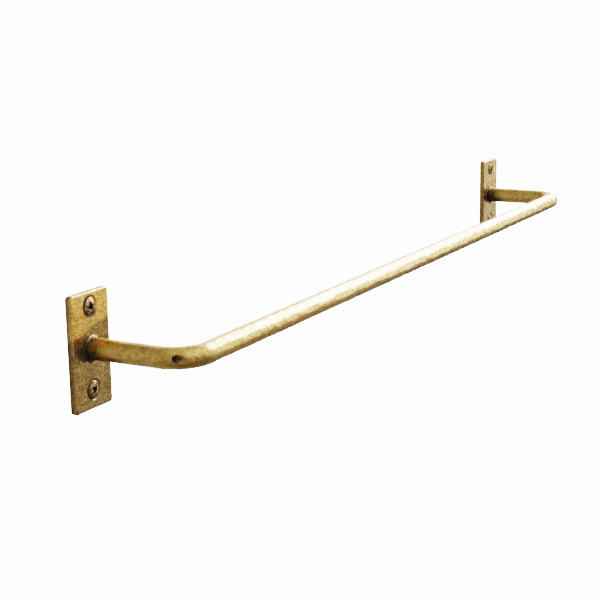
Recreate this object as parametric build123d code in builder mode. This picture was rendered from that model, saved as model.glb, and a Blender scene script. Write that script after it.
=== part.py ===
"""Wall-mounted towel rail: one bent round bar brazed into two screwed wall plates.

Units are millimetres. The wall is the plane Y = 0 and the room is towards -Y. The origin lies on
the wall, midway between the two arms and level with their axes. X runs along the rail, Z is up.
"""

from build123d import *
from math import radians, tan
import os

os.makedirs("parts", exist_ok=True)

# Rail: a solid round bar with an arm at each end
arm_spacing = 457.2
projection = 50.8
rail_diameter = 9.525
bend_radius = 14.0

# Turned spigots that pass through the wall plates
spigot_diameter = 6.35
spigot_clearance = 0.05
spigot_recess = 0.2
spigot_chamfer = 0.4

# Small blind hole drilled along the left arm from the outside of its elbow. It lies a little
# outward of the arm's axis and above it, and reaches this far behind the rail's centre line
vent_diameter = 2.9
vent_outward = 1.1
vent_rise = 0.6
vent_reach = 10.0

# Wall plates
plate_width = 25.4
plate_height = 50.8
plate_thickness = 3.175
plate_drop = 1.0
plate_corner_radius = 1.8
plate_front_rounding = 0.9
plate_back_rounding = 0.3

# Braze metal round the root of each arm
braze_leg = 1.2
braze_lip = 0.25

# Wood screws with a raised countersunk head, whose rim lies below the plate's face
screw_end_distance = 7.4
screw_length = 31.75
head_diameter = 8.4
head_angle = 82.0
head_recess = 0.5
crown_rise = 1.2
neck_rounding = 0.6
shank_diameter = 4.17
shank_clearance = 0.165
bare_shank = 8.0
thread_diameter = 3.8
core_diameter = 2.7
thread_pitch = 1.69
crest_share = 0.12
point_length = 4.2

# Cross recess in each screw's head
recess_span = 4.4
recess_wing = 0.9
recess_core = 2.3
recess_tip = 1.5
recess_depth = 2.4

# Expanding wall plugs, pushed in behind the tile so that they hold the thread only
plug_diameter = 6.0
plug_length = 25.0
plug_gap = 0.3
plug_collar = 4.0
plug_nose = 3.0
plug_nose_diameter = 4.8
barb_depth = 0.35
barb_pitch = 3.0
slot_width = 0.9

# How far each screw's cross is turned, in degrees
screw_turns = {
    "left_upper": 12.0,
    "left_lower": 52.0,
    "right_upper": 31.0,
    "right_lower": 74.0,
}

rail_radius = rail_diameter / 2
half_span = arm_spacing / 2
screw_spacing = plate_height - 2 * screw_end_distance
sides = {"left": -half_span, "right": half_span}
levels = {"upper": screw_spacing / 2, "lower": -screw_spacing / 2}
into_wall = (0, 1, 0)
thread_radius = thread_diameter / 2
head_rim = head_recess - plate_thickness
crown = head_rim - crown_rise


def finish(piece, name):
    """Labels a finished piece and writes it as one STEP file."""
    piece.part.label = name
    export_step(piece.part, f"parts/{name}.step")


# Rail: the bar is swept along its bent centre line, then gets a spigot on each end
with BuildPart() as rail:
    with BuildLine(Plane.XY) as centre_line:
        FilletPolyline(
            (-half_span, -plate_thickness),
            (-half_span, -projection),
            (half_span, -projection),
            (half_span, -plate_thickness),
            radius=bend_radius,
        )
    with BuildSketch(Plane.XZ.offset(plate_thickness)):
        with Locations((-half_span, 0)):
            Circle(rail_radius)
    sweep(path=centre_line.line)
    with BuildSketch(Plane.XZ.offset(plate_thickness)):
        with Locations((-half_span, 0), (half_span, 0)):
            Circle(spigot_diameter / 2)
    extrude(amount=spigot_recess - plate_thickness)
    chamfer(rail.faces().group_by(Axis.Y)[-1].edges(), spigot_chamfer)
    with Locations(Plane.XZ.offset(projection + rail_radius)):
        with Locations((-half_span - vent_outward, vent_rise)):
            Hole(vent_diameter / 2, depth=rail_radius + vent_reach)
finish(rail, "rail")

# Wall plates: rounded bars with a spigot hole and two countersunk screw holes each
for side, x in sides.items():
    with BuildPart() as plate:
        with BuildSketch(Plane.XZ):
            with Locations((x, -plate_drop)):
                RectangleRounded(plate_width, plate_height, plate_corner_radius)
        extrude(amount=plate_thickness)
        fillet(plate.faces().sort_by(Axis.Y)[0].edges(), plate_front_rounding)
        fillet(plate.faces().sort_by(Axis.Y)[-1].edges(), plate_back_rounding)
        with Locations(Plane.XZ.offset(plate_thickness)):
            with Locations((x, 0)):
                Hole(spigot_diameter / 2 + spigot_clearance)
            with Locations(*[(x, z) for z in levels.values()]):
                CounterSinkHole(
                    radius=shank_diameter / 2 + shank_clearance,
                    counter_sink_radius=head_diameter / 2 + head_recess * tan(radians(head_angle / 2)),
                    counter_sink_angle=head_angle,
                )
    finish(plate, f"{side}_wall_plate")

# Braze: a ring with a hollow face in the corner between each arm and its plate
for side, x in sides.items():
    with BuildPart() as braze:
        with BuildSketch(Plane.XY):
            with BuildLine():
                root = -plate_thickness
                outer = x + rail_radius + braze_leg
                Polyline(
                    (x + rail_radius + braze_lip, root - braze_leg),
                    (x + rail_radius, root - braze_leg),
                    (x + rail_radius, root),
                    (outer, root),
                    (outer, root - braze_lip),
                )
                CenterArc((outer, root - braze_leg), braze_leg - braze_lip, 90, 90)
            make_face()
        revolve(axis=Axis((x, 0, 0), into_wall))
    finish(braze, f"{side}_braze_fillet")


def make_recess(x, z, turn):
    """The cutter for a cross recess: a cone trimmed to four wings and a round core."""
    head_face = Plane.XZ.offset(-crown)
    with BuildPart() as recess:
        with Locations(head_face):
            with Locations((x, z)):
                Cone(
                    recess_tip / 2,
                    recess_span / 2,
                    recess_depth,
                    align=(Align.CENTER, Align.CENTER, Align.MAX),
                )
        with BuildSketch(head_face):
            with Locations((x, z)):
                Rectangle(recess_span, recess_wing, rotation=turn)
                Rectangle(recess_wing, recess_span, rotation=turn)
                Circle(recess_core / 2)
        extrude(amount=-recess_depth, mode=Mode.INTERSECT)
    return recess.part


def make_screw(x, z, turn):
    """A wood screw with a domed head, a bare shank, a thread drawn as rings and a cone point."""
    head_radius = head_diameter / 2
    shank_radius = shank_diameter / 2
    core_radius = core_diameter / 2
    neck = head_rim + (head_radius - shank_radius) / tan(radians(head_angle / 2))
    tip = head_rim + screw_length
    flank = thread_pitch * (1 - crest_share) / 2
    outline = [(head_radius, head_rim), (shank_radius, neck), (shank_radius, bare_shank)]
    ring_count = int((tip - point_length - bare_shank) / thread_pitch)
    for ring in range(ring_count):
        start = bare_shank + ring * thread_pitch
        outline += [
            (core_radius, start),
            (thread_radius, start + flank),
            (thread_radius, start + thread_pitch - flank),
        ]
    thread_end = bare_shank + ring_count * thread_pitch
    outline += [(core_radius, thread_end), (core_radius, tip - point_length), (0, tip), (0, crown)]
    cutter = make_recess(x, z, turn)
    with BuildPart() as screw:
        with BuildSketch(Plane.XY.offset(z)) as profile:
            with BuildLine():
                Polyline(*[(x + radius, depth) for radius, depth in outline])
                TangentArc((x, crown), (x + head_radius, head_rim), tangent=(1, 0))
            make_face()
            fillet(profile.vertices().sort_by_distance((x + shank_radius, neck, z))[0], neck_rounding)
        revolve(axis=Axis((x, 0, z), into_wall))
        add(cutter, mode=Mode.SUBTRACT)
    return screw


def make_plug(x, z):
    """A nylon wall plug: a barbed tube with a plain collar, a tapered nose and a split body."""
    mouth = bare_shank + plug_gap
    end = mouth + plug_length
    body_radius = plug_diameter / 2
    outline = [(thread_radius, mouth), (body_radius, mouth), (body_radius, mouth + plug_collar)]
    barb_count = int((plug_length - plug_collar - plug_nose) / barb_pitch)
    for barb in range(barb_count):
        start = mouth + plug_collar + barb * barb_pitch
        outline += [(body_radius - barb_depth, start), (body_radius, start + barb_pitch)]
    outline += [(body_radius, end - plug_nose), (plug_nose_diameter / 2, end), (thread_radius, end)]
    with BuildPart() as plug:
        with BuildSketch(Plane.XY.offset(z)):
            with BuildLine():
                Polyline(*[(x + radius, depth) for radius, depth in outline], close=True)
            make_face()
        revolve(axis=Axis((x, 0, z), into_wall))
        with BuildSketch(Plane.XZ.offset(-mouth - plug_collar)):
            with Locations((x, z)):
                Rectangle(plug_diameter, slot_width)
        extrude(amount=plug_collar + plug_nose - plug_length, mode=Mode.SUBTRACT)
    return plug


for side, x in sides.items():
    for level, z in levels.items():
        place = f"{side}_{level}"
        finish(make_screw(x, z, screw_turns[place]), f"{place}_screw")
        finish(make_plug(x, z), f"{place}_wall_plug")
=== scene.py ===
"""Looks of the wall-mounted brass towel rail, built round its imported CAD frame. Units are metres."""

import math

import bmesh
import bpy
from mathutils import Matrix, Vector, noise


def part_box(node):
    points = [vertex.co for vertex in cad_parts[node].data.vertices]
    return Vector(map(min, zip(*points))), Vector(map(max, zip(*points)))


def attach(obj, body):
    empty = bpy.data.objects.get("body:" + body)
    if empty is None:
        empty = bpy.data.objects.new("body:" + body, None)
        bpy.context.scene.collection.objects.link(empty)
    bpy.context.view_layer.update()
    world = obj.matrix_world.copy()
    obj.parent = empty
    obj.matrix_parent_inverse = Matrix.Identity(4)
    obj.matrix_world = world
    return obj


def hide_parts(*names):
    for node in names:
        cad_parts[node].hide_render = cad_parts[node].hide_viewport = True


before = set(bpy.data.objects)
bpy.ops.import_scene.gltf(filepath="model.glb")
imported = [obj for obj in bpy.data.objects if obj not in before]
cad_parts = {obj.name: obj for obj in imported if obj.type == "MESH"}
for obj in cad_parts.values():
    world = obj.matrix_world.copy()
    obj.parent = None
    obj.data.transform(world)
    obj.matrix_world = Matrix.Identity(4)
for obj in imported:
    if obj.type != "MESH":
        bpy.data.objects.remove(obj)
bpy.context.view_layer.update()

MM = 0.001

# Camera: its place, its yaw from +X, its pitch downwards, its roll, and its lens in millimetres
CAMERA_PLACE = Vector((-0.67614, -0.35107, 0.14849))
CAMERA_YAW = math.radians(29.01)
CAMERA_PITCH = math.radians(13.01)
CAMERA_ROLL = math.radians(1.04)
CAMERA_LENS = 83.1
CAMERA_NEAR = 0.01

# Sizes that the frame gives
RAIL_LOW, RAIL_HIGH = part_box("rail")
RAIL_RADIUS = (RAIL_HIGH.z - RAIL_LOW.z) / 2
ARM_X = RAIL_HIGH.x - RAIL_RADIUS
RAIL_Y = RAIL_LOW.y + RAIL_RADIUS
SPIGOT_END = RAIL_HIGH.y
PLATE_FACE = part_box("left_wall_plate")[0].y
SCREW_LOW, SCREW_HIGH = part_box("left_upper_screw")
SCREW_Z = (SCREW_LOW.z + SCREW_HIGH.z) / 2
HEAD_RADIUS = (SCREW_HIGH.z - SCREW_LOW.z) / 2
CROWN_Y = SCREW_LOW.y

# Sizes that the frame doesn't give
BEND_RADIUS = 14.0 * MM
SPIGOT_RADIUS = 3.175 * MM
SPIGOT_CHAMFER = 0.4 * MM
VENT_X = -ARM_X - 1.1 * MM
VENT_Z = 0.6 * MM
VENT_RADIUS = 1.45 * MM
VENT_FLOOR = RAIL_Y + 10.0 * MM
VENT_POINT = 0.8 * MM
HEAD_RECESS = 0.5 * MM

SIDES = {"left": -ARM_X, "right": ARM_X}
LEVELS = {"upper": SCREW_Z, "lower": -SCREW_Z}


# ---------------------------------------------------------------- shader helpers

class Nodes:
    """Adds nodes to one shader tree and links them as they are made."""

    def __init__(self, tree):
        self.tree = tree
        tree.nodes.clear()

    def add(self, kind, inputs=(), **settings):
        node = self.tree.nodes.new(kind)
        for name, value in settings.items():
            setattr(node, name, value)
        for key, value in dict(inputs).items():
            socket = node.inputs[key]
            if isinstance(value, bpy.types.NodeSocket):
                self.tree.links.new(value, socket)
            else:
                socket.default_value = value
        return node

    def math(self, operation, first, second, third=0.0, clamp=False):
        inputs = {0: first, 1: second, 2: third}
        return self.add("ShaderNodeMath", inputs, operation=operation, use_clamp=clamp).outputs[0]

    def mix(self, factor, first, second, blend="MIX"):
        inputs = {0: factor, 6: first, 7: second}
        return self.add("ShaderNodeMix", inputs, data_type="RGBA", blend_type=blend).outputs[2]

    def ramp(self, factor, stops):
        """A colour ramp, whose stops are (position, colour) or (position, grey)."""
        node = self.add("ShaderNodeValToRGB", {0: factor})
        ramp = node.color_ramp
        while len(ramp.elements) < len(stops):
            ramp.elements.new(0.5)
        for element, (place, colour) in zip(ramp.elements, stops):
            element.position = place
            element.color = (*colour, 1) if isinstance(colour, tuple) else (colour, colour, colour, 1)
        return node.outputs[0]

    def noise(self, place, size, detail, roughness=0.55):
        """Smooth noise around 0.5 whose largest lumps are about this size."""
        inputs = {"Vector": place, "Scale": 1 / size, "Detail": detail, "Roughness": roughness}
        return self.add("ShaderNodeTexNoise", inputs).outputs[0]

    def attribute(self, name):
        return self.add("ShaderNodeAttribute", attribute_name=name).outputs["Fac"]

    def object_place(self):
        return self.add("ShaderNodeTexCoord").outputs["Object"]

    def bump(self, height, strength, distance):
        inputs = {"Height": height, "Strength": strength, "Distance": distance}
        return self.add("ShaderNodeBump", inputs).outputs[0]


def new_material(name):
    material = bpy.data.materials.new(name)
    material.use_nodes = True
    return material, Nodes(material.node_tree)


# ---------------------------------------------------------------- camera and stage

WHITE = (1, 1, 1, 1)
STAGE_PAINT = (0.8, 0.8, 0.8, 1)
STAGE_REACH = 3.0
FLOOR_Z = -1.4
CEILING_Z = 1.6
WALL_GLOW = 6.0
FLOOR_GLOW = 4.0


def place_camera():
    forward = Vector((
        math.cos(CAMERA_YAW) * math.cos(CAMERA_PITCH),
        math.sin(CAMERA_YAW) * math.cos(CAMERA_PITCH),
        -math.sin(CAMERA_PITCH),
    ))
    right = forward.cross(Vector((0, 0, 1))).normalized()
    right.rotate(Matrix.Rotation(CAMERA_ROLL, 3, forward))
    up = right.cross(forward)
    camera = bpy.data.objects.new("camera", bpy.data.cameras.new("camera"))
    camera.data.lens = CAMERA_LENS
    camera.data.clip_start = CAMERA_NEAR
    turn = Matrix((right, up, -forward)).transposed()
    camera.matrix_world = Matrix.Translation(CAMERA_PLACE) @ turn.to_4x4()
    bpy.context.scene.collection.objects.link(camera)
    bpy.context.scene.camera = camera


def add_object(name, data):
    made = bpy.data.objects.new(name, data)
    bpy.context.scene.collection.objects.link(made)
    return made


def backdrop_material(name, glow):
    """Pale and self-lit from the front, and clear from behind, so the wall hides nothing from the back."""
    material, n = new_material(name)
    paint = n.add("ShaderNodeBsdfDiffuse", {"Color": STAGE_PAINT})
    light = n.add("ShaderNodeEmission", {"Color": WHITE, "Strength": glow})
    front = n.add("ShaderNodeAddShader", {0: paint.outputs[0], 1: light.outputs[0]})
    clear = n.add("ShaderNodeBsdfTransparent")
    side = n.add("ShaderNodeNewGeometry").outputs["Backfacing"]
    both = n.add("ShaderNodeMixShader", {0: side, 1: front.outputs[0], 2: clear.outputs[0]})
    n.add("ShaderNodeOutputMaterial", {"Surface": both.outputs[0]})
    return material


def build_backdrop(name, corners, material):
    """One flat face that only the camera sees, so that it casts no light or shade on the brass."""
    mesh = bpy.data.meshes.new(name)
    mesh.from_pydata(corners, [], [(0, 1, 2, 3)])
    mesh.materials.append(material)
    made = add_object(name, mesh)
    for ray in ("visible_diffuse", "visible_glossy", "visible_transmission", "visible_shadow"):
        setattr(made, ray, False)


def build_stage():
    reach = STAGE_REACH
    wall_corners = [(-reach, FLOOR_Z), (reach, FLOOR_Z), (reach, CEILING_Z), (-reach, CEILING_Z)]
    floor_corners = [(-reach, -reach), (reach, -reach), (reach, reach), (-reach, reach)]
    wall = backdrop_material("wall_paint", WALL_GLOW)
    floor = backdrop_material("floor_paint", FLOOR_GLOW)
    build_backdrop("wall", [(x, 0, z) for x, z in wall_corners], wall)
    build_backdrop("floor", [(x, y, FLOOR_Z) for x, y in floor_corners], floor)


# ---------------------------------------------------------------- light

# Broad patches of light in the room around the object: direction, radiance and how narrow each is
ROOM_GLOWS = [
    ((-0.40, -0.90, -0.10), 0.45, 3.0),
    ((0.20, -0.66, 0.72), 0.90, 3.0),
    ((0.76, -0.62, -0.02), 0.60, 10.0),
    ((0.80, 0.55, 0.30), 1.45, 8.0),
    ((-0.85, 0.45, 0.1), 0.38, 2.0),
    ((0.0, 0.1, 1.0), 0.20, 2.0),
    ((0.05, 0.5, -0.87), 0.24, 3.0),
    ((0.62, 0.15, -0.77), 0.25, 8.0),
]
ROOM_FILL = 0.11
ROOM_SEEN = 6.0

# Soft lights: name, place, target, width, height and radiance
SOFT_LIGHTS = [
    ("window", (1.1, -0.22, 0.60), (0, -0.03, 0), 1.05, 0.62, 11.0),
    ("low_panel", (1.1, -0.60, -0.02), (0, -0.04, 0), 0.36, 0.42, 1.7),
]


def area_light(name, place, target, width, height, radiance):
    """A rectangular soft light that shows this radiance in a reflection and is hidden from the camera."""
    light = bpy.data.lights.new(name, "AREA")
    light.shape = "RECTANGLE"
    light.size = width
    light.size_y = height
    light.energy = radiance * math.pi * width * height
    made = add_object(name, light)
    made.location = place
    made.rotation_euler = (Vector(target) - Vector(place)).to_track_quat("-Z", "Y").to_euler()
    made.visible_camera = False


def light_room():
    """The camera sees an even white room, and the brass reflects the broad glows."""
    world = bpy.data.worlds.new("room")
    world.use_nodes = True
    bpy.context.scene.world = world
    n = Nodes(world.node_tree)
    direction = n.add("ShaderNodeTexCoord").outputs["Generated"]
    total = ROOM_FILL
    for aim, radiance, narrowness in ROOM_GLOWS:
        inputs = {0: direction, 1: Vector(aim).normalized()}
        dot = n.add("ShaderNodeVectorMath", inputs, operation="DOT_PRODUCT")
        facing = n.math("MAXIMUM", dot.outputs["Value"], 0.0)
        glow = n.math("POWER", facing, narrowness)
        total = n.math("MULTIPLY_ADD", glow, radiance, total)
    room = n.add("ShaderNodeBackground", {"Color": WHITE, "Strength": total})
    seen = n.add("ShaderNodeBackground", {"Color": WHITE, "Strength": ROOM_SEEN})
    ray = n.add("ShaderNodeLightPath").outputs["Is Camera Ray"]
    both = n.add("ShaderNodeMixShader", {0: ray, 1: room.outputs[0], 2: seen.outputs[0]})
    n.add("ShaderNodeOutputWorld", {"Surface": both.outputs[0]})
    for light in SOFT_LIGHTS:
        area_light(*light)


# ---------------------------------------------------------------- materials

# Colours of each metal: bare, dull and dark
RAIL_TONES = ((0.88, 0.605, 0.25), (0.66, 0.45, 0.18), (0.095, 0.070, 0.032))
PLATE_TONES = ((0.88, 0.585, 0.25), (0.38, 0.275, 0.135), (0.085, 0.056, 0.024))
# The braze's bare tone is also the colour of its painted highlight
BRAZE_TONES = ((0.66, 0.60, 0.53), (0.42, 0.30, 0.14), (0.050, 0.034, 0.016))
SCREW_TONES = ((0.66, 0.51, 0.33), (0.24, 0.165, 0.085), (0.060, 0.040, 0.018))
STAIN = (0.72, 0.66, 0.54, 1)

# Sizes of the patterns in the brass, from broad clouds to fine specks
CLOUD_SIZE = 9 * MM
MOTTLE_SIZE = 2.4 * MM
SPECK_SIZE = 0.95 * MM

# Nylon of the wall plugs, in its darker and lighter parts
NYLON_TONES = ((0.33, 0.33, 0.32), (0.40, 0.40, 0.39))
NYLON_CLOUD_SIZE = 2.5 * MM


def aged_brass(name, tones, roughness, grain_depth, fleck=0.35):
    """Brass with a cast grain. One painted number, for wear and painted light, lifts it from dull to bare,
    and another, for dirt and painted shade, darkens it.
    """
    bare, dull, dark = [(*tone, 1) for tone in tones]
    material, n = new_material(name)
    place = n.object_place()
    clouds = n.noise(place, CLOUD_SIZE, 5.0)
    mottle = n.noise(place, MOTTLE_SIZE, 4.0, 0.6)
    specks = n.noise(place, SPECK_SIZE, 3.0, 0.6)

    # Dull to bare with the wear and painted light, stained where the mottle is low, and flecked both bright
    # and dark
    cloudy = n.math("SUBTRACT", clouds, 0.5)
    polish_and_light = n.math("MULTIPLY_ADD", cloudy, 0.6, n.attribute("polish_and_light"), clamp=True)
    colour = n.mix(polish_and_light, dull, bare)
    colour = n.mix(n.ramp(mottle, [(0.36, 1.0), (0.62, 0.0)]), colour, STAIN, "MULTIPLY")
    colour = n.mix(n.ramp(specks, [(0.54, 0.0), (0.66, fleck)]), colour, bare)
    colour = n.mix(n.ramp(specks, [(0.32, fleck), (0.45, 0.0)]), colour, dark)

    # Dirt and painted shade, broken up by the mottle, darken the brass and make it less metallic
    uneven = n.math("MULTIPLY_ADD", n.math("SUBTRACT", mottle, 0.5), 1.4, n.attribute("grime_and_shade"))
    grime_and_shade = n.math("MULTIPLY", n.ramp(uneven, [(0.18, 0.0), (0.75, 1.0)]), 0.97)
    colour = n.mix(grime_and_shade, colour, dark)
    metal = n.math("MULTIPLY_ADD", grime_and_shade, -0.8, 1.0)

    # Rougher where the mottle is low and where the dirt and painted shade lie
    rough = n.math("MULTIPLY_ADD", n.math("SUBTRACT", 0.62, mottle), 0.35, roughness)
    rough = n.math("MULTIPLY_ADD", grime_and_shade, 0.25, rough, clamp=True)
    bump = n.bump(n.math("MULTIPLY_ADD", mottle, 0.8, specks), 1.0, grain_depth)
    inputs = {"Base Color": colour, "Metallic": metal, "Roughness": rough, "Normal": bump}
    surface = n.add("ShaderNodeBsdfPrincipled", inputs)
    n.add("ShaderNodeOutputMaterial", {"Surface": surface.outputs[0]})
    return material


def nylon():
    material, n = new_material("plug_nylon")
    cloud = n.noise(n.object_place(), NYLON_CLOUD_SIZE, 4.0)
    colour = n.ramp(cloud, [(0.35, NYLON_TONES[0]), (0.65, NYLON_TONES[1])])
    rough = n.ramp(cloud, [(0.3, 0.62), (0.7, 0.48)])
    bump = n.bump(cloud, 0.4, 0.1 * MM)
    inputs = {"Base Color": colour, "Roughness": rough, "Normal": bump}
    surface = n.add("ShaderNodeBsdfPrincipled", inputs)
    n.add("ShaderNodeOutputMaterial", {"Surface": surface.outputs[0]})
    return material


# ---------------------------------------------------------------- surfaces worked by hand

# Uneven surface of cast and filed brass: long waves, dents and a fine grain
WAVE_SIZE = 7.0 * MM
WAVE_DEPTH = 0.10 * MM
DIMPLE_SIZE = 2.3 * MM
DIMPLE_DEPTH = 0.17 * MM
GRAIN_SIZE = 0.8 * MM
GRAIN_DEPTH = 0.035 * MM


def ease(low, high, value):
    """0 at low, 1 at high, held beyond them, with a smooth change between them. Low may be the larger."""
    share = min(max((value - low) / (high - low), 0.0), 1.0)
    return share * share * (3 - 2 * share)


def cast_depth(place, dimples=1.0):
    """How far a sand-cast and hand-filed surface lies below its nominal size at a place."""
    wave = noise.noise(place / WAVE_SIZE)
    dimple = noise.noise(place / DIMPLE_SIZE)
    grain = noise.noise(place / GRAIN_SIZE)
    return WAVE_DEPTH * wave + DIMPLE_DEPTH * dimples * dimple + GRAIN_DEPTH * grain


def apply_modifiers(made):
    graph = bpy.context.evaluated_depsgraph_get()
    mesh = bpy.data.meshes.new_from_object(made.evaluated_get(graph))
    made.modifiers.clear()
    made.data = mesh


def remeshed_node(node, name, voxel, smoothing):
    """A copy of a CAD node in small even faces, with its sharp edges softened.

    The remesh runs in millimetres, which keeps its voxels well above Blender's smallest size.
    """
    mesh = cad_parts[node].data.copy()
    mesh.transform(Matrix.Scale(1 / MM, 4))
    weld = bmesh.new()
    weld.from_mesh(mesh)
    bmesh.ops.remove_doubles(weld, verts=weld.verts, dist=1e-4)
    weld.to_mesh(mesh)
    weld.free()
    made = add_object(name, mesh)
    remesh = made.modifiers.new("remesh", "REMESH")
    remesh.mode = "VOXEL"
    remesh.voxel_size = voxel / MM
    smooth = made.modifiers.new("smooth", "SMOOTH")
    smooth.factor = 0.5
    smooth.iterations = smoothing
    apply_modifiers(made)
    made.data.transform(Matrix.Scale(MM, 4))
    return made


def roughen(made, depth_at):
    """Sinks each point of a piece along its normal."""
    mesh = made.data
    sunk = [v.co - depth_at(v.co) * v.normal for v in mesh.vertices]
    for vertex, place in zip(mesh.vertices, sunk):
        vertex.co = place


def paint(made, name, value_at):
    """Stores a number for each point of a piece, worked out from the point's place and normal."""
    mesh = made.data
    layer = mesh.attributes.new(name, "FLOAT", "POINT")
    layer.data.foreach_set("value", [value_at(v.co, v.normal) for v in mesh.vertices])


def finish_piece(made, material, node):
    made.data.materials.clear()
    made.data.materials.append(material)
    made.data.shade_smooth()
    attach(made, "root")
    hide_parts(node)


def lathe_mesh(name, centre, profile, segments):
    """A closed solid of revolution about an axis along Y. The profile is (radius, y) from pole to pole."""
    inner = profile[1:-1]
    points = [Vector((centre.x, profile[0][1], centre.z))]
    for radius, y in inner:
        for step in range(segments):
            turn = 2 * math.pi * step / segments
            outward = Vector((math.cos(turn), 0, math.sin(turn)))
            points.append(Vector((centre.x, y, centre.z)) + radius * outward)
    points.append(Vector((centre.x, profile[-1][1], centre.z)))
    faces = []
    last = len(points) - 1
    for step in range(segments):
        after = (step + 1) % segments
        faces.append((0, 1 + step, 1 + after))
        for ring in range(len(inner) - 1):
            here = 1 + ring * segments
            beyond = here + segments
            faces.append((here + step, beyond + step, beyond + after, here + after))
        tail = 1 + (len(inner) - 1) * segments
        faces.append((last, tail + after, tail + step))
    mesh = bpy.data.meshes.new(name)
    mesh.from_pydata(points, [], faces)
    return mesh


# ---------------------------------------------------------------- rail: shape

# Rings of points along the bar, closer together on the arms, the bends and a short run past them
RING_POINTS = 72
ARM_STEP = 0.40 * MM
RAIL_STEP = 0.52 * MM
FINE_RUN = 12 * MM
FIRST_STEP = 0.02 * MM

# Dents on the front run, drawn out along it, which start this far in from each arm
DIMPLE_STRETCH = 2.0
DIMPLES_FROM = 2 * MM
DIMPLES_FULL = 14 * MM
ARM_DIMPLES = 0.25

# Worn dish round the mouth of the small hole, and the drill that cuts the hole
DISH_DEPTH = 0.30 * MM
DISH_REACH = 0.8 * MM
DRILL_SEGMENTS = 48
DRILL_START = RAIL_LOW.y - 2 * MM


def bar_line(distance):
    """Point and heading at a distance along the left half of the bar, from its plate to its middle."""
    straight = PLATE_FACE - RAIL_Y - BEND_RADIUS
    quarter = BEND_RADIUS * math.pi / 2
    if distance < straight:
        return Vector((-ARM_X, PLATE_FACE - distance, 0)), Vector((0, -1, 0))
    if distance < straight + quarter:
        turn = (distance - straight) / BEND_RADIUS
        hub = Vector((BEND_RADIUS - ARM_X, RAIL_Y + BEND_RADIUS, 0))
        outward = Vector((-math.cos(turn), -math.sin(turn), 0))
        return hub + BEND_RADIUS * outward, Vector((math.sin(turn), -math.cos(turn), 0))
    run = distance - straight - quarter
    return Vector((BEND_RADIUS - ARM_X + run, RAIL_Y, 0)), Vector((1, 0, 0))


def bar_rings():
    """Centre, heading and radius of each ring of points, from the left spigot's end to the right one's."""
    into_room = Vector((0, -1, 0))
    spigot = [
        (SPIGOT_END, SPIGOT_RADIUS - SPIGOT_CHAMFER),
        (SPIGOT_END - SPIGOT_CHAMFER, SPIGOT_RADIUS),
        (PLATE_FACE + 0.1 * MM, SPIGOT_RADIUS),
        (PLATE_FACE + FIRST_STEP, RAIL_RADIUS - 0.2 * MM),
    ]
    rings = [(Vector((-ARM_X, y, 0)), into_room, radius) for y, radius in spigot]
    bent = PLATE_FACE - RAIL_Y - BEND_RADIUS + BEND_RADIUS * math.pi / 2
    total = bent + ARM_X - BEND_RADIUS
    distance = FIRST_STEP
    while distance < total - RAIL_STEP / 2:
        rings.append((*bar_line(distance), RAIL_RADIUS))
        distance += ARM_STEP if distance < bent + FINE_RUN else RAIL_STEP
    right = [
        (Vector((-centre.x, centre.y, 0)), Vector((heading.x, -heading.y, 0)), radius)
        for centre, heading, radius in reversed(rings)
    ]
    return rings + right


def vent_distance(place):
    """How far a place is from the axis of the small hole."""
    return math.hypot(place.x - VENT_X, place.z - VENT_Z)


def bar_depth(place):
    """The cast surface, dimpled along the front run, with a worn dish round the small hole's mouth."""
    front_run = ease(ARM_X - DIMPLES_FROM, ARM_X - DIMPLES_FULL, abs(place.x))
    stretched = Vector((place.x / DIMPLE_STRETCH, place.y, place.z))
    dimple = front_run * noise.noise(stretched / DIMPLE_SIZE)
    depth = cast_depth(place, ARM_DIMPLES) + DIMPLE_DEPTH * dimple
    if place.y < VENT_FLOOR and place.x < 0:
        dish = 1 - ease(VENT_RADIUS - 0.1 * MM, VENT_RADIUS + DISH_REACH, vent_distance(place))
        depth += DISH_DEPTH * dish ** 2
    return depth


def bar_mesh():
    rings = bar_rings()
    points = []
    for centre, heading, radius in rings:
        side = heading.cross(Vector((0, 0, 1)))
        for step in range(RING_POINTS):
            turn = 2 * math.pi * step / RING_POINTS
            outward = side * math.cos(turn) + Vector((0, 0, math.sin(turn)))
            place = centre + radius * outward
            points.append(place - bar_depth(place) * outward)
    faces = []
    for ring in range(len(rings) - 1):
        here = ring * RING_POINTS
        beyond = here + RING_POINTS
        for step in range(RING_POINTS):
            after = (step + 1) % RING_POINTS
            faces.append((here + step, beyond + step, beyond + after, here + after))
    first_pole = len(points)
    points += [rings[0][0], rings[-1][0]]
    tail = (len(rings) - 1) * RING_POINTS
    for step in range(RING_POINTS):
        after = (step + 1) % RING_POINTS
        faces.append((first_pole, step, after))
        faces.append((first_pole + 1, tail + after, tail + step))
    mesh = bpy.data.meshes.new("rail_bar")
    mesh.from_pydata(points, [], faces)
    return mesh


def drill_vent(rail):
    """Cuts the small blind hole that runs along the left arm."""
    profile = [
        (0, DRILL_START),
        (VENT_RADIUS, DRILL_START),
        (VENT_RADIUS, VENT_FLOOR - VENT_POINT),
        (0, VENT_FLOOR),
    ]
    drill = lathe_mesh("vent_drill", Vector((VENT_X, 0, VENT_Z)), profile, DRILL_SEGMENTS)
    cutter = add_object("vent_drill", drill)
    cut = rail.modifiers.new("vent", "BOOLEAN")
    cut.operation = "DIFFERENCE"
    cut.solver = "EXACT"
    cut.object = cutter
    apply_modifiers(rail)
    bpy.data.objects.remove(cutter)


# ---------------------------------------------------------------- rail: wear, painted light and painted shade

# Ragged border of a painted reflection along the outside of each bend, with a painted highlight above it and
# painted shade below it
REFLECTION_EDGE_RISE = 1.4 * MM
REFLECTION_EDGE_SLOPE = -0.04
REFLECTION_EDGE_LUMP = 2.2 * MM
REFLECTION_EDGE_SWING = 1.5 * MM
BELOW_REFLECTION_SHADE = 0.42


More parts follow.
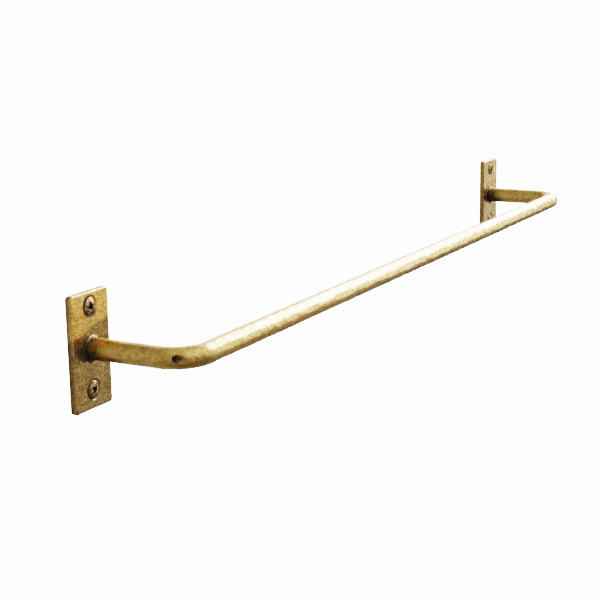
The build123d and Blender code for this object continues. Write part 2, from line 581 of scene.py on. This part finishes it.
def elbow_reflection_border(place):
    """How far a place is in the outside of a bend, and how far above the ragged border of the painted
    reflection there.
    """
    inward = ARM_X - abs(place.x)
    in_bend = ease(RAIL_Y + 9 * MM, RAIL_Y + 3 * MM, place.y)
    in_bend *= 1 - ease(0.8 * BEND_RADIUS, 2.4 * BEND_RADIUS, inward)
    ragged = noise.noise(Vector((place.x, place.y, 0)) / REFLECTION_EDGE_LUMP)
    line = REFLECTION_EDGE_RISE + REFLECTION_EDGE_SLOPE * inward + REFLECTION_EDGE_SWING * ragged
    return in_bend, ease(-0.3 * MM, 0.3 * MM, place.z - line)


def hole_shade_and_stain(place):
    """Painted shade in the small hole, darker with depth and to the left, and a soft dark ring round its
    mouth: a stain, with painted shade on its left.
    """
    if place.y >= VENT_FLOOR + 0.5 * MM or place.x >= 0:
        return 0.0
    from_wall = vent_distance(place) - VENT_RADIUS
    left = ease(-0.6 * MM, 0.9 * MM, VENT_X - place.x)
    mouth = (0.15 + 0.45 * left) * (1 - ease(0, 0.8 * MM, from_wall))
    if from_wall >= 0.03 * MM:
        return mouth
    deep = ease(RAIL_Y + 2.2 * MM, RAIL_Y + 4.2 * MM, place.y)
    return max(mouth, 0.25 + 0.45 * left + 0.75 * deep)


def root_patina_and_shade(place, normal):
    """Brown where each arm leaves its plate: patina, with painted shade that is darker and longer
    underneath.
    """
    below = ease(-0.6, 0.9, -normal.z)
    reach = (14 + 4 * below) * MM
    return (1 - ease(1 * MM, reach, PLATE_FACE - place.y)) * (0.56 + 0.26 * below)


def underside_shade(place, normal):
    """Painted shade on the front run's underside, broken into brown spots, darker towards the right."""
    front_run = ease(ARM_X - 4 * MM, ARM_X - 20 * MM, abs(place.x))
    to_right = ease(-ARM_X, ARM_X, place.x)
    spots = noise.noise(place / (1.5 * MM))
    return (0.50 + 0.32 * to_right) * front_run * ease(0.0, 0.85, 1.4 * spots - normal.z)


# Patina and painted shade on the bar: in the small hole, at each arm's root, on the underside and below each
# bend's painted reflection
def bar_grime_and_shade(place, normal):
    in_bend, above = elbow_reflection_border(place)
    return max(
        hole_shade_and_stain(place),
        root_patina_and_shade(place, normal),
        underside_shade(place, normal),
        # Painted shade below the border of each bend's painted reflection
        BELOW_REFLECTION_SHADE * in_bend * (1 - above),
    )


def bar_polish_and_highlight(place, normal):
    """The bar's long front run is rubbed bright, its arms less so, and its elbows carry a painted highlight
    above a ragged line.
    """
    in_bend, above = elbow_reflection_border(place)
    front_run = ease(BEND_RADIUS * 0.1, BEND_RADIUS * 1.4, ARM_X - abs(place.x))
    return 0.15 + 0.55 * front_run + 0.25 * in_bend * above


def build_rail(material):
    rail = add_object("rail_bar", bar_mesh())
    drill_vent(rail)
    paint(rail, "grime_and_shade", bar_grime_and_shade)
    paint(rail, "polish_and_light", bar_polish_and_highlight)
    finish_piece(rail, material, "rail")


# ---------------------------------------------------------------- wall plates

PLATE_VOXEL = 0.21 * MM
PLATE_SMOOTHING = 3

# Painted shade on each plate's left flank
FLANK_SHADE = {"left": 0.48, "right": 0.25}

# Dark patch on the left of the arm's root: its middle and half-widths, across and up
PATCH_ACROSS = -6.0 * MM
PATCH_UP = 0.4 * MM
PATCH_HALF_WIDTH = 5.6 * MM
PATCH_HALF_HEIGHT = 6.4 * MM
PATCH_DARKNESS = 0.66

# Painted shade round the arm's root, darkest in this direction, which is left and a little down
HALO_REACH = 2.6 * MM
HALO_TURN = math.radians(205)

# Strength of the painted shade below each screw's head, where 1 is that of the painted shade on its left
SCREW_FOOT_SHADE = {"upper": 0.8, "lower": 0.1}

# Border of a painted pool of light, between the lit upper part and the dull lower part, and how bright each
# plate's painted light is
BORDER_RISE = 9.3 * MM
BORDER_SLOPE = 0.22
BORDER_LUMP = 2.5 * MM
BORDER_SWING = 1.2 * MM
LIGHT_POOL = {"left": 1.0, "right": 0.35}


def plate_depth(place):
    """The cast surface, fading out on the back so that it stays flat on the wall."""
    return cast_depth(place, 0.35) * ease(-0.2 * MM, -1.0 * MM, place.y)


def screw_seat_shade(across, up):
    """Painted shade in the groove round each screw's head, on its left and below it."""
    grime_and_shade = 0.0
    for level, z in LEVELS.items():
        from_edge = abs(math.hypot(across, up - z) - HEAD_RADIUS - 0.1 * MM)
        left = ease(-1.0 * MM, 3.0 * MM, -across)
        foot = SCREW_FOOT_SHADE[level] * ease(1.0 * MM, 3.5 * MM, z - up)
        grime_and_shade = max(grime_and_shade, (1 - ease(0.3 * MM, 1.0 * MM, from_edge)) * max(left, foot))
    return grime_and_shade


def build_plate(side, material):
    x = SIDES[side]

    def grime_and_shade(place, normal):
        """Painted shade on the flank, darker towards the wall, underneath, round the arm's root and round
        the screws, and a dark ragged patch.
        """
        across = place.x - x
        up = place.z
        # Painted shade on the flank, darker towards the wall, and underneath
        towards_wall = 0.2 + 0.8 * ease(PLATE_FACE, PLATE_FACE / 4, place.y)
        flank = ease(0.2, 0.9, -normal.x) * towards_wall * FLANK_SHADE[side]
        under = ease(0.3, 0.9, -normal.z) * 0.25
        ragged = 1 + 0.30 * noise.noise(place / (1.6 * MM)) + 0.18 * noise.noise(place / (0.7 * MM))
        from_root = math.hypot(across, up) * ragged
        # Painted shade round the arm's root, darkest low on its left
        low_left = ease(-0.2, 0.8, math.cos(math.atan2(up, across) - HALO_TURN))
        halo = 1 - ease(RAIL_RADIUS - 0.5 * MM, RAIL_RADIUS + HALO_REACH, from_root)
        halo *= 0.15 + 0.85 * low_left
        patch_across = (across - PATCH_ACROSS) / PATCH_HALF_WIDTH
        patch_up = (up - PATCH_UP) / PATCH_HALF_HEIGHT
        patch = PATCH_DARKNESS * (1 - ease(0.55, 1.15, math.hypot(patch_across, patch_up) * ragged))
        return max(flank, under, halo, patch, screw_seat_shade(across, up))

    def polish_and_light(place, normal):
        """Painted light: brighter above a line that rises to the right, most of all just above it."""
        across = place.x - x
        left = ease(1 * MM, 9 * MM, -across)
        line = BORDER_RISE + BORDER_SLOPE * across - 0.8 * MM * left
        over = place.z - line + BORDER_SWING * noise.noise(place / BORDER_LUMP)
        edge = (0.6 + 1.6 * left) * MM
        fading = 0.95 - 0.40 * ease(2 * MM, 12 * MM, over)
        return 0.05 + LIGHT_POOL[side] * ease(-edge, edge, over) * fading

    plate = remeshed_node(f"{side}_wall_plate", f"{side}_plate_casting", PLATE_VOXEL, PLATE_SMOOTHING)
    roughen(plate, plate_depth)
    paint(plate, "grime_and_shade", grime_and_shade)
    paint(plate, "polish_and_light", polish_and_light)
    finish_piece(plate, material, f"{side}_wall_plate")


# ---------------------------------------------------------------- braze beads

BRAZE_VOXEL = 0.12 * MM
BRAZE_SMOOTHING = 4
BEAD_LUMP = 1.8 * MM
BEAD_SINK = 0.18 * MM

# Painted highlight on the bead, a bright broken line just outside the arm, and the direction in which the
# bead's painted shade is darkest
SEAM_OFFSET = 0.4 * MM
SEAM_BREAK = 1.1 * MM
SEAM_STRENGTH = {"left": 1.0, "right": 0.4}
SHADOW_TURN = math.radians(195)


def bead_depth(place):
    """A lumpy surface, from metal that flowed."""
    lump = 0.5 + 0.5 * noise.noise(place / BEAD_LUMP)
    return BEAD_SINK * lump + cast_depth(place, 0.4)


def build_braze(side, material):
    x = SIDES[side]

    def seam_highlight(place):
        """A painted highlight: a broken bright line where the bead meets the arm, brightest at its top."""
        from_line = abs(math.hypot(place.x - x, place.z) - RAIL_RADIUS - SEAM_OFFSET)
        broken = ease(-0.05, 0.25, noise.noise(place / SEAM_BREAK))
        topmost = 0.4 + 0.6 * ease(0.75, 0.98, (place.z + (place.x - x) / 3) / RAIL_RADIUS)
        return (1 - ease(0.1 * MM, 0.4 * MM, from_line)) * broken * topmost * SEAM_STRENGTH[side]

    def grime_and_shade(place, normal):
        """Darkish all round, with painted shade on the left and below, and lighter along the painted
        highlight of the seam.
        """
        turn = math.atan2(place.z, place.x - x)
        shadow = ease(-0.3, 1.0, math.cos(turn - SHADOW_TURN))
        return (0.25 + 0.6 * shadow) * (1 - 0.6 * seam_highlight(place))

    def polish_and_light(place, normal):
        return seam_highlight(place)

    bead = remeshed_node(f"{side}_braze_fillet", f"{side}_braze_bead", BRAZE_VOXEL, BRAZE_SMOOTHING)
    roughen(bead, bead_depth)
    paint(bead, "grime_and_shade", grime_and_shade)
    paint(bead, "polish_and_light", polish_and_light)
    finish_piece(bead, material, f"{side}_braze_fillet")


# ---------------------------------------------------------------- screws

SCREW_VOXEL = 0.13 * MM
SCREW_SMOOTHING = 2

# The cross recess: the radius of its round middle, and the radius that holds all of it
CROSS_CORE = 1.25 * MM
CROSS_REACH = HEAD_RADIUS * 0.7

SHANK_GRIME = 0.2
WORN_SPOT = 1.5 * MM


def build_screw(side, level, material):
    x = SIDES[side]
    z = LEVELS[level]
    rim_y = PLATE_FACE + HEAD_RECESS
    rise = rim_y - CROWN_Y

    def radius_of(place):
        return math.hypot(place.x - x, place.z - z)

    def below_dome(place):
        """How far a place lies behind the head's domed face."""
        return place.y - CROWN_Y - rise * (radius_of(place) / HEAD_RADIUS) ** 2

    def depth(place):
        """The worn face of the head, fading out in the recess and along the shank."""
        return cast_depth(place) * (1 - ease(0.8 * MM, 1.6 * MM, below_dome(place)))

    def grime_and_shade(place, normal):
        """Painted shade in the recess, from nearer the face in its middle, round its mouth and at the head's
        left.
        """
        if place.y > rim_y + 1.5 * MM:
            return SHANK_GRIME
        radius = radius_of(place)
        mouth = 0.42 * (1 - ease(0.7 * MM, 2.2 * MM, radius))
        deep = (0.45 * MM, 1.5 * MM) if radius > CROSS_CORE else (0.1 * MM, 0.9 * MM)
        recess = ease(*deep, below_dome(place)) if radius < CROSS_REACH else 0.0
        left = ease(-1.5 * MM, 2.6 * MM, x - place.x)
        rim = (0.1 + 0.62 * left) * ease(HEAD_RADIUS - 1.3 * MM, HEAD_RADIUS - 0.4 * MM, radius)
        return max(recess, rim, mouth)

    def polish_and_light(place, normal):
        """Worn in spots."""
        return 0.25 + 1.1 * noise.noise(place / WORN_SPOT)

    node = f"{side}_{level}_screw"
    screw = remeshed_node(node, f"{node}_worn", SCREW_VOXEL, SCREW_SMOOTHING)
    roughen(screw, depth)
    paint(screw, "grime_and_shade", grime_and_shade)
    paint(screw, "polish_and_light", polish_and_light)
    finish_piece(screw, material, node)


# ---------------------------------------------------------------- the whole object

def build_object():
    rail_brass = aged_brass("rail_brass", RAIL_TONES, roughness=0.22, grain_depth=0.10 * MM)
    plate_brass = aged_brass("plate_brass", PLATE_TONES, roughness=0.26, grain_depth=0.10 * MM, fleck=0.48)
    braze_metal = aged_brass("braze_metal", BRAZE_TONES, roughness=0.3, grain_depth=0.06 * MM)
    screw_brass = aged_brass("screw_brass", SCREW_TONES, roughness=0.34, grain_depth=0.10 * MM, fleck=0.7)
    plug_nylon = nylon()
    build_rail(rail_brass)
    for side in SIDES:
        build_plate(side, plate_brass)
        build_braze(side, braze_metal)
        for level in LEVELS:
            build_screw(side, level, screw_brass)
            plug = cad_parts[f"{side}_{level}_wall_plug"]
            plug.data.materials.clear()
            plug.data.materials.append(plug_nylon)


place_camera()
build_stage()
light_room()
build_object()
bpy.context.scene.view_settings.view_transform = "Filmic"
bpy.context.scene.view_settings.look = "Very High Contrast"
